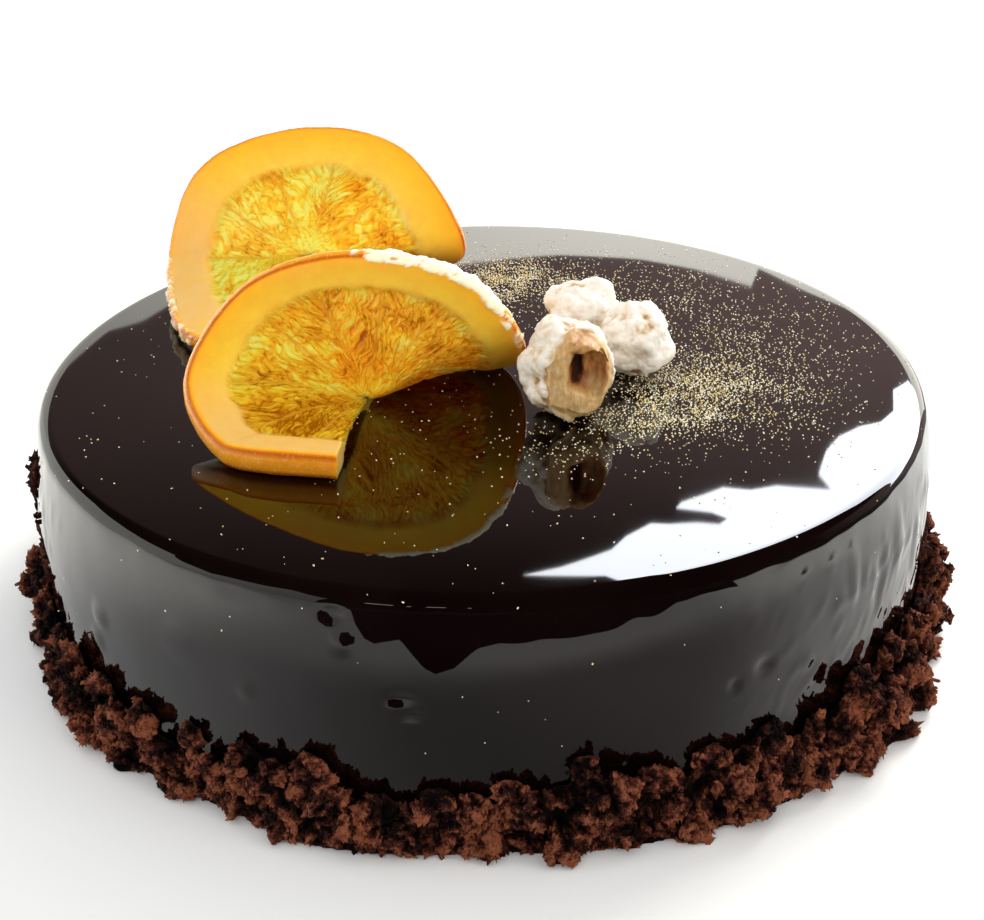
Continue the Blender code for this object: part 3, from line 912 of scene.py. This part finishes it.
# Orange slices boiled in syrup: soft, wet and translucent. The pulp lets light straight through and
# shows brown between its fibres; the band round it is even and glows, and its cut edge is crisp.
def makeCandiedOrange():
    material, tree, shader, coords = startMaterial(
        "candied orange",
        {
            "IOR": 1.42, "Subsurface Weight": 1.0, "Subsurface Scale": mm,
            "Subsurface Radius": (1.8, 1.4, 0.35),
        },
    )
    tone, wall, band, sugar, paintedSheen, fibre, spot = (
        addNode(tree, "ShaderNodeAttribute", attribute_name=name)
        for name in (
            "pulpTone", "pulpWall", "bandShare", "sugarShare", "paintedSheenShare", "fibre", "spot"
        )
    )
    # juice sacs, by their width and length, with bent outlines and darker lines between them
    sway = addNode(
        tree, "ShaderNodeTexNoise",
        {"Vector": fibre.outputs["Vector"], "Scale": 0.55, "Detail": 2.0, "Roughness": 0.6},
    )
    bend = addNode(
        tree, "ShaderNodeVectorMath",
        {0: sway.outputs["Color"], 1: (2.1, 2.1, 0.0), 2: fibre.outputs["Vector"]},
        operation="MULTIPLY_ADD",
    )
    drawn = addNode(
        tree, "ShaderNodeMapping", {"Vector": bend.outputs[0], "Scale": (1 / 1.5, 1 / 3.4, 1)}
    )
    edges = addNode(
        tree, "ShaderNodeTexVoronoi", {"Vector": drawn.outputs[0], "Scale": 1.0},
        feature="DISTANCE_TO_EDGE",
    )
    sac = addNode(
        tree, "ShaderNodeMapRange", {"Value": edges.outputs["Distance"], "From Max": 0.12}
    )
    fineDrawn = addNode(
        tree, "ShaderNodeMapping", {"Vector": bend.outputs[0], "Scale": (1 / 0.6, 1 / 1.5, 1)}
    )
    fine = addNode(
        tree, "ShaderNodeTexNoise", {"Vector": fineDrawn.outputs[0], "Scale": 1.0, "Detail": 3.0}
    )
    both = addNode(
        tree, "ShaderNodeMath", {0: sac.outputs[0], 1: 0.32, 2: fine.outputs[0]},
        operation="MULTIPLY_ADD",
    )
    centred = addNode(tree, "ShaderNodeMath", {0: both.outputs[0], 1: 0.76}, operation="SUBTRACT")
    mixed = addNode(
        tree, "ShaderNodeMath", {0: centred.outputs[0], 1: 0.85, 2: tone.outputs["Fac"]},
        operation="MULTIPLY_ADD",
    )
    pulp = addNode(
        tree, "ShaderNodeValToRGB", {"Fac": mixed.outputs[0]},
        [(0.05, "#b06408"), (0.28, "#dc9a16"), (0.5, "#f8bc28"), (0.72, "#ffd83a"), (0.95, "#fff078")],
    )
    walled = addNode(
        tree, "ShaderNodeMix", {0: wall.outputs["Fac"], 6: pulp.outputs[0], 7: "#f8b830"}, data_type="RGBA"
    )
    place = addNode(tree, "ShaderNodeSeparateXYZ", {"Vector": spot.outputs["Vector"]})
    rim = addNode(
        tree, "ShaderNodeValToRGB", {"Fac": place.outputs["Y"]},
        [
            (0.70, "#ffd45a"), (0.86, "#ffce40"), (0.97, "#ffc030"), (0.992, "#f0a024"),
            (1.0, "#e89a20"),
        ],
    )
    # the cut edge is browner where the skin meets the face that was sliced
    sideways = addNode(tree, "ShaderNodeMath", {0: place.outputs["Z"]}, operation="ABSOLUTE")
    skin = addNode(
        tree, "ShaderNodeMapRange", {"Value": sideways.outputs[0], "From Min": 0.55, "From Max": 0.95}
    )
    outermost = addNode(
        tree, "ShaderNodeMapRange", {"Value": place.outputs["Y"], "From Min": 0.984, "From Max": 0.999}
    )
    edge = addNode(
        tree, "ShaderNodeMath", {0: skin.outputs[0], 1: outermost.outputs[0]}, operation="MULTIPLY"
    )
    # painted sheen: the band turns paler and creamier along one stretch
    sheenPainted = addNode(
        tree, "ShaderNodeMix", {0: paintedSheen.outputs["Fac"], 6: rim.outputs[0], 7: "#eec474"},
        data_type="RGBA",
    )
    cloud = addNode(
        tree, "ShaderNodeTexNoise",
        {"Vector": coords.outputs["Object"], "Scale": 1 / (3.5 * mm), "Detail": 4.0, "Roughness": 0.7},
    )
    clouded = addNode(
        tree, "ShaderNodeMapRange",
        {"Value": cloud.outputs[0], "From Min": 0.4, "From Max": 0.7, "To Max": 0.4},
    )
    mottled = addNode(
        tree, "ShaderNodeMix", {0: clouded.outputs[0], 6: sheenPainted.outputs[2], 7: "#f4b43c"},
        data_type="RGBA",
    )
    edged = addNode(
        tree, "ShaderNodeMix", {0: edge.outputs[0], 6: mottled.outputs[2], 7: "#c2640c"},
        data_type="RGBA",
    )
    colour = addNode(
        tree, "ShaderNodeMix", {0: band.outputs["Fac"], 6: walled.outputs[2], 7: edged.outputs[2]},
        data_type="RGBA",
    )
    speck = addNode(
        tree, "ShaderNodeTexNoise",
        {"Vector": coords.outputs["Object"], "Scale": 1 / (0.5 * mm), "Detail": 2.0},
    )
    specked = addNode(
        tree, "ShaderNodeMapRange",
        {"Value": speck.outputs[0], "From Min": 0.58, "From Max": 0.78, "To Min": 0.0, "To Max": 0.2},
    )
    onRim = addNode(
        tree, "ShaderNodeMapRange", {"Value": place.outputs["Y"], "From Min": 0.98, "From Max": 1.0}
    )
    dusted = addNode(
        tree, "ShaderNodeMath", {0: specked.outputs[0], 1: onRim.outputs[0]}, operation="MULTIPLY"
    )
    frosted = addNode(
        tree, "ShaderNodeMath", {0: sugar.outputs["Fac"], 1: dusted.outputs[0]}, operation="MAXIMUM"
    )
    sugared = addNode(
        tree, "ShaderNodeMix", {0: frosted.outputs[0], 6: colour.outputs[2], 7: "#fff0d2"},
        data_type="RGBA",
    )
    tree.links.new(sugared.outputs[2], shader.inputs["Base Color"])
    solid = addNode(
        tree, "ShaderNodeMath", {0: band.outputs["Fac"], 1: frosted.outputs[0]}, operation="MAXIMUM"
    )
    clear = addNode(
        tree, "ShaderNodeMapRange", {"Value": solid.outputs[0], "To Min": 0.15, "To Max": 0.0}
    )
    tree.links.new(clear.outputs[0], shader.inputs["Transmission Weight"])
    dull = addNode(
        tree, "ShaderNodeMapRange", {"Value": frosted.outputs[0], "To Min": 0.25, "To Max": 0.75}
    )
    tree.links.new(dull.outputs[0], shader.inputs["Roughness"])
    pulpy = addNode(
        tree, "ShaderNodeMapRange", {"Value": band.outputs["Fac"], "To Min": 0.7, "To Max": 0.05}
    )
    bump = addNode(
        tree, "ShaderNodeBump",
        {"Strength": pulpy.outputs[0], "Distance": 0.35 * mm, "Height": both.outputs[0]},
    )
    tree.links.new(bump.outputs[0], shader.inputs["Normal"])
    return material


candiedOrange = makeCandiedOrange()
slicePieces = {name: makeSlice(name) for name in slices}
print("orange slices laid")


# Sponge crumbs: a rough heap against the cake's foot, with loose crumbs of several sizes on it.
crumbs = {
    "grid": 0.58,
    # spacing of the heap's lumps and how far they stand out
    "lumps": ((6.0, 1.7), (2.6, 1.5), (1.3, 1.5)),
    "pits": (2.2, 2.8),
    # faces by detail, kinds, pieces per square millimetre, and smallest and largest half size
    "coarse": (2, 6, 0.05, (0.6, 1.1)),
    "medium": (1, 6, 0.48, (0.35, 0.7)),
    "small": (0, 5, 0.64, (0.28, 0.6)),
    "fine": (0, 5, 0.64, (0.18, 0.36)),
    "stuck": (2, 6, 0.9, (0.4, 1.3)),
    "shred": (1.5, 0.75, 0.6),  # how the loose crumbs are stretched
    # degrees from the front to the right, height, half width and half height of stray crumbs
    "strays": (
        (-75.2, 38.5, 1.1, 2.9, 5.0), (-75, 28, 1.0, 2.0, 0.8), (-74, 22, 3.0, 3.0, 1.2),
        (76, 22, 4.0, 3.0, 0.7), (140, 19, 4.0, 3.0, 0.4),
    ),
}


def makeSpongeMaterial():
    # Chocolate sponge, rubbed to crumbs: dry, matte and open, darker in its pores, and painted darker where
    # its surface sinks, as shade in its hollows.
    material, tree, shader, coords = startMaterial(
        "chocolate sponge", {"Roughness": 0.95, "Specular IOR Level": 0.15}
    )
    rise = addNode(tree, "ShaderNodeAttribute", attribute_name="rise")
    grain = addNode(
        tree, "ShaderNodeTexNoise",
        {"Vector": coords.outputs["Object"], "Scale": 1 / (0.8 * mm), "Detail": 4.0, "Roughness": 0.75},
    )
    patch = addNode(
        tree, "ShaderNodeTexNoise", {"Vector": coords.outputs["Object"], "Scale": 1 / (9 * mm)}
    )
    tones = addNode(
        tree, "ShaderNodeMath", {0: patch.outputs[0], 1: 0.4, 2: grain.outputs[0]},
        operation="MULTIPLY_ADD",
    )
    level = addNode(tree, "ShaderNodeMath", {0: tones.outputs[0], 1: 0.7}, operation="SUBTRACT")
    # painted shade: lower places, by their rise, take the darker colours
    mixed = addNode(
        tree, "ShaderNodeMath", {0: level.outputs[0], 1: 1.8, 2: rise.outputs["Fac"]},
        operation="MULTIPLY_ADD",
    )
    colour = addNode(
        tree, "ShaderNodeValToRGB", {"Fac": mixed.outputs[0]},
        [(0.1, "#0a0302"), (0.4, "#260e08"), (0.65, "#4d2417"), (0.95, "#8a4e34")],
    )
    tree.links.new(colour.outputs[0], shader.inputs["Base Color"])
    bump = addNode(
        tree, "ShaderNodeBump", {"Strength": 1.0, "Distance": 0.5 * mm, "Height": grain.outputs[0]}
    )
    tree.links.new(bump.outputs[0], shader.inputs["Normal"])
    return material


def makeCrumbs():
    sponge = makeSpongeMaterial()
    heap = copyNode("crumb_border", "sponge_crumb_heap")
    applyModifier(heap, "grid", "REMESH", mode="VOXEL", voxel_size=crumbs["grid"] * mm)
    applyModifier(heap, "evened", "SMOOTH", factor=0.5, iterations=3)
    places = readVertices(heap)
    normals = readNormals(heap)
    radii = np.hypot(places[:, 0], places[:, 1])
    wall = np.array([sideRadius(height) for height in places[:, 2]])
    shown = smoothStep(0.5, 1.4, radii - wall) * smoothStep(-0.2, 0.3, normals[:, 2] + 0.6)
    shown *= smoothStep(0.2, 0.8, places[:, 2])
    pushes = np.zeros(len(places))
    pitSpacing, pitDepth = crumbs["pits"]
    for index, place in enumerate(places):
        spot = Vector(place)
        # the lumps' pattern is bent, so that they aren't round
        spot += 2.0 * noise.noise_vector(spot / 4) + 0.8 * noise.noise_vector(spot / 1.6)
        push = sum(depth * noise.noise(spot / spacing) for spacing, depth in crumbs["lumps"])
        pit = noise.noise(spot / pitSpacing + Vector((0, 0, 40)))
        pushes[index] = push - pitDepth * max(0, pit - 0.1)
    places += normals * (pushes * shown)[:, None]
    places[:, 2] = np.maximum(places[:, 2], 0)
    writeVertices(heap, places)
    # how far the heap stands out; its colour is painted darker where it sinks, as shade
    writeAttribute(heap, "rise", np.clip(0.52 + 0.42 * pushes, 0, 1))
    writeAttribute(heap, "shown", shown)
    for number, name in enumerate(("coarse", "medium", "small", "fine")):
        detail, kinds, amount, sizes = crumbs[name]
        samples = makeSamples(f"{name}_crumb", kinds, detail, 0.95, crumbs["shred"])
        piece = scatter(f"sponge_crumbs_{name}", heap, samples, amount, sizes, 11 + 12 * number, "shown")
        removeSamples(samples)
        places = readVertices(piece)
        places[:, 2] = np.maximum(places[:, 2], 0)
        writeVertices(piece, places)
        finishPiece(piece, sponge)
    finishPiece(heap, sponge, "crumb_border")

    places = readVertices(glazePiece)
    azimuths = np.degrees(np.arctan2(places[:, 0], -places[:, 1]))
    share = np.zeros(len(places))
    for degrees, height, halfWidth, halfHeight, amount in crumbs["strays"]:
        away = np.radians(azimuths - degrees) * cakeRadius / halfWidth
        share += amount * np.exp(-(away**2) - ((places[:, 2] - height) / halfHeight) ** 2)
    share[share < 0.05] = 0
    writeAttribute(glazePiece, "stray", share)
    writeAttribute(glazePiece, "rise", np.full(len(places), 0.5))
    detail, kinds, amount, sizes = crumbs["stuck"]
    samples = makeSamples("stray_crumb", kinds, detail, 0.9, crumbs["shred"])
    piece = scatter("sponge_crumbs_stuck", glazePiece, samples, amount, sizes, 71, "stray")
    removeSamples(samples)
    finishPiece(piece, sponge)


makeCrumbs()
print("crumbs heaped")


# Sugared hazelnuts: a grainy white crust. One nut is broken open and shows its tan kernel, with a
# glossy brown hollow and a dark crack.
nuts = {
    "grid": 0.28,
    "lumps": ((3.6, 1.1), (1.6, 0.42), (0.7, 0.2)),  # spacing of the crust's lumps, and depth
    "oldHollow": {"centre": (19.4, 60.4), "halfSize": (5.0, 7.4)},  # the solid's, filled in first
    # seen from in front: the broken face, the bowl that the kernel left, and the crack beside it
    "face": {"centre": (18.9, 60.2), "halfSize": (7.0, 9.2)},
    "bowl": {"centre": (20.9, 61.6), "halfSize": (3.7, 5.4), "depth": 4.2},
    "crack": {"centre": (17.9, 62.4), "halfSize": (1.3, 3.4), "depth": 3.0},
    "lobe": {"centre": (18.9, 67.6), "halfSize": (3.0, 1.6)},
    "facePlane": (-27.6, 0.1),  # how far forward the face stands, and how it slants to the right
    "bend": 0.9,  # how far their outlines wander
    "lip": 0.7,
    "footLump": {"centre": (10.8, -31.0, 55.2), "size": 2.4, "height": 1.2},
    # painted shade on each nut's crust, most on the split nut
    "crustShade": {"hazelnut_split": 0.2, "hazelnut_rear": 0.0, "hazelnut_side": 0.04},
}


def makeSugarMaterial():
    # Sugar boiled till it grains: white, dull and slightly see-through at its edges, tan where it sinks
    # between lumps and, as painted shade, on its undersides and over the split nut. Where the nut is broken
    # its kernel shows, oily and brown, with painted shade in its crack and a painted paler corner in its
    # bowl.
    material, tree, shader, coords = startMaterial(
        "sugar crust",
        {
            "Subsurface Weight": 0.35, "Subsurface Scale": mm,
            "Subsurface Radius": (1.6, 1.3, 1.0),
        },
    )
    kernel = addNode(tree, "ShaderNodeAttribute", attribute_name="kernel")
    depth = addNode(tree, "ShaderNodeAttribute", attribute_name="kernelDepth")
    bareAndShade = addNode(tree, "ShaderNodeAttribute", attribute_name="bareAndShadeShare")
    grain = addNode(
        tree, "ShaderNodeTexNoise",
        {"Vector": coords.outputs["Object"], "Scale": 1 / (1.6 * mm), "Detail": 3.0},
    )
    patchy = addNode(
        tree, "ShaderNodeMath", {0: grain.outputs[0], 1: 0.9, 2: bareAndShade.outputs["Fac"]},
        operation="MULTIPLY_ADD",
    )
    crust = addNode(
        tree, "ShaderNodeValToRGB", {"Fac": patchy.outputs[0]},
        [(0.3, "#f6f2ea"), (0.62, "#eee4d2"), (0.82, "#dfc8a2"), (1.0, "#b08658")],
    )
    stretched = addNode(
        tree, "ShaderNodeMapping", {"Vector": coords.outputs["Object"], "Scale": (2.0, 1.0, 0.8)}
    )
    torn = addNode(
        tree, "ShaderNodeTexNoise",
        {"Vector": stretched.outputs[0], "Scale": 1 / (1.8 * mm), "Detail": 4.0, "Roughness": 0.6},
    )
    streak = addNode(
        tree, "ShaderNodeMath", {0: torn.outputs[0], 1: 0.8, 2: depth.outputs["Fac"]},
        operation="MULTIPLY_ADD",
    )
    inside = addNode(
        tree, "ShaderNodeValToRGB", {"Fac": streak.outputs[0]},
        [(0.3, "#dfbf88"), (0.5, "#c79c5e"), (0.72, "#b67d42"), (0.9, "#8c5024"), (1.0, "#4a2a1c")],
    )
    colour = addNode(
        tree, "ShaderNodeMix", {0: kernel.outputs["Fac"], 6: crust.outputs[0], 7: inside.outputs[0]},
        data_type="RGBA",
    )
    tree.links.new(colour.outputs[2], shader.inputs["Base Color"])
    oily = addNode(
        tree, "ShaderNodeMapRange",
        {"Value": depth.outputs["Fac"], "From Min": 0.2, "From Max": 0.45, "To Min": 0.6, "To Max": 0.28},
    )
    tree.links.new(oily.outputs[0], shader.inputs["Roughness"])
    return material


# How far a place lies from an ellipse's or ellipsoid's middle, 1 on its edge.
def shareFrom(places, centre, halfSize):
    return np.sqrt((((places - np.array(centre)) / np.array(halfSize)) ** 2).sum(axis=1))


def makeNuts():
    sugar = makeSugarMaterial()
    for number, node in enumerate(("hazelnut_split", "hazelnut_rear", "hazelnut_side")):
        nut = copyNode(node, "sugared_" + node)
        applyModifier(nut, "grid", "REMESH", mode="VOXEL", voxel_size=nuts["grid"] * mm)
        applyModifier(nut, "evened", "SMOOTH", factor=0.5, iterations=8)
        places = readVertices(nut)
        kernel, depth = np.zeros(len(places)), np.zeros(len(places))
        if node == "hazelnut_split":
            bowl, face, crack = nuts["bowl"], nuts["face"], nuts["crack"]
            seen = places[:, 1] < -21.5
            bent = np.array([
                (noise.noise(Vector(place) / 3), noise.noise(Vector(place) / 3 + Vector((9, 9, 9))))
                for place in places
            ])
            facing = places[:, ::2] + nuts["bend"] * bent
            fromFace = shareFrom(facing, face["centre"], face["halfSize"])
            filled = seen & (shareFrom(places[:, ::2], **nuts["oldHollow"]) < 0.99)
            forward, slant = nuts["facePlane"]
            plane = forward + slant * (places[:, 0] - face["centre"][0])
            flat = seen & (fromFace < 1.0)
            places[flat, 1] = np.maximum(places[flat, 1], plane[flat])
            places[filled, 1] = plane[filled]
            kernel = np.where(seen, 1 - smoothStep(0.93, 1.02, fromFace), 0)
            fromBowl = shareFrom(facing, bowl["centre"], bowl["halfSize"])
            inBowl = np.where(seen, 1 - smoothStep(0.85, 1.08, fromBowl), 0)
            sunk = bowl["depth"] * np.sqrt(np.maximum(0, 1 - fromBowl**2))
            crackShare = np.exp(-shareFrom(facing, crack["centre"], crack["halfSize"]) ** 4)
            places[:, 1] += (np.where(seen, sunk, 0) + crack["depth"] * crackShare) * kernel
            # painted light: the bowl is painted paler at its lower right corner
            low = smoothStep(61, 57, places[:, 2]) * smoothStep(19, 22, places[:, 0])
            lobe = np.exp(-shareFrom(facing, **nuts["lobe"]) ** 4)
            # the bowl and lobe browner with the kernel's skin; the crack painted darker as shade in it
            depth = (0.37 - 0.3 * low) * inBowl + 0.5 * crackShare + 0.24 * lobe
            depth = np.clip(depth, 0, 1) * kernel
            writeVertices(nut, places)
            applyModifier(nut, "softened", "SMOOTH", factor=0.5, iterations=2)
            places = readVertices(nut)
        normals = readNormals(nut)
        offset = Vector((number * 30 + 7, 0, 0))
        pushes = np.zeros(len(places))
        for index, place in enumerate(places):
            spot = Vector(place) + offset
            pushes[index] = sum(deep * noise.noise(spot / spacing) for spacing, deep in nuts["lumps"])
        # crust tan where it sinks between lumps, and painted shade on its undersides, which face down
        bareAndShade = 0.4 * smoothStep(0.15, 0.7, -pushes) + 0.25 * smoothStep(0.0, 0.9, -normals[:, 2])
        # painted shade, by nut
        bareAndShade += nuts["crustShade"][node]
        crust = 1 - kernel
        lip = nuts["lip"] * np.exp(-(((kernel - 0.35) / 0.3) ** 2)) * (kernel > 0.01)
        pushes = pushes * (0.35 + 0.65 * crust) + 0.35 * crust + lip
        if node == "hazelnut_split":
            lump = nuts["footLump"]
            fromLump = np.linalg.norm(places - np.array(lump["centre"]), axis=1) / lump["size"]
            pushes += lump["height"] * np.exp(-(fromLump**2))
        places += normals * pushes[:, None]
        places[:, 2] = np.maximum(places[:, 2], glazeTop + 0.1)
        writeVertices(nut, places)
        writeAttribute(nut, "kernel", kernel)
        writeAttribute(nut, "kernelDepth", depth)
        writeAttribute(nut, "bareAndShadeShare", bareAndShade)
        finishPiece(nut, sugar, node)


makeNuts()
print("nuts placed")


# Gold dust: tiny flakes, thickest beside the nuts and behind the front slice.
dust = {
    "amount": 5.2,  # flakes per square millimetre where it lies thickest
    "sizes": (0.12, 0.28),
    # centre, half width across and along, and share of the full amount
    "patches": (
        ((40, -14), (10, 11), 0.9), ((50, -10), (17, 17), 0.4), ((30, -22), (8, 8), 0.5),
        ((8, 54), (11, 10), 0.8), ((0, 45), (9, 12), 0.5), ((30, 40), (24, 22), 0.16),
        ((55, 14), (22, 22), 0.12), ((20, -34), (14, 9), 0.12), ((0, 0), (95, 95), 0.007),
    ),
    "goldTone": "#fdeebc",
}


def dustGold():
    places = readVertices(glazePiece)
    share = np.zeros(len(places))
    for (x, y), (halfX, halfY), amount in dust["patches"]:
        away = ((places[:, 0] - x) / halfX) ** 2 + ((places[:, 1] - y) / halfY) ** 2
        share += amount * np.exp(-away)
    share[places[:, 2] < glazeTop - 0.5] *= 0.3
    share[places[:, 2] < 1.5] = 0
    share *= [max(0.2, 1 + 1.3 * noise.noise(Vector(place) / 4)) for place in places]
    writeAttribute(glazePiece, "dust", share)
    samples = makeSamples("gold_flake", 3, 0, 0.5, (1, 1, 0.5))
    piece = scatter("gold_dust", glazePiece, samples, dust["amount"], dust["sizes"], 41, "dust")
    removeSamples(samples)
    # Edible gold lustre: pale flakes of metal that catch the light one by one.
    material, tree, shader, coords = startMaterial("gold dust", {"Roughness": 0.35})
    shade = addNode(
        tree, "ShaderNodeTexNoise", {"Vector": coords.outputs["Object"], "Scale": 1 / (1.1 * mm)}
    )
    colour = addNode(
        tree, "ShaderNodeValToRGB", {"Fac": shade.outputs[0]},
        [(0.35, "#d6bc68"), (0.5, dust["goldTone"]), (0.65, "#fffbea")],
    )
    tree.links.new(colour.outputs[0], shader.inputs["Base Color"])
    finishPiece(piece, material)


dustGold()
print("gold dusted")

bpy.context.view_layer.update()
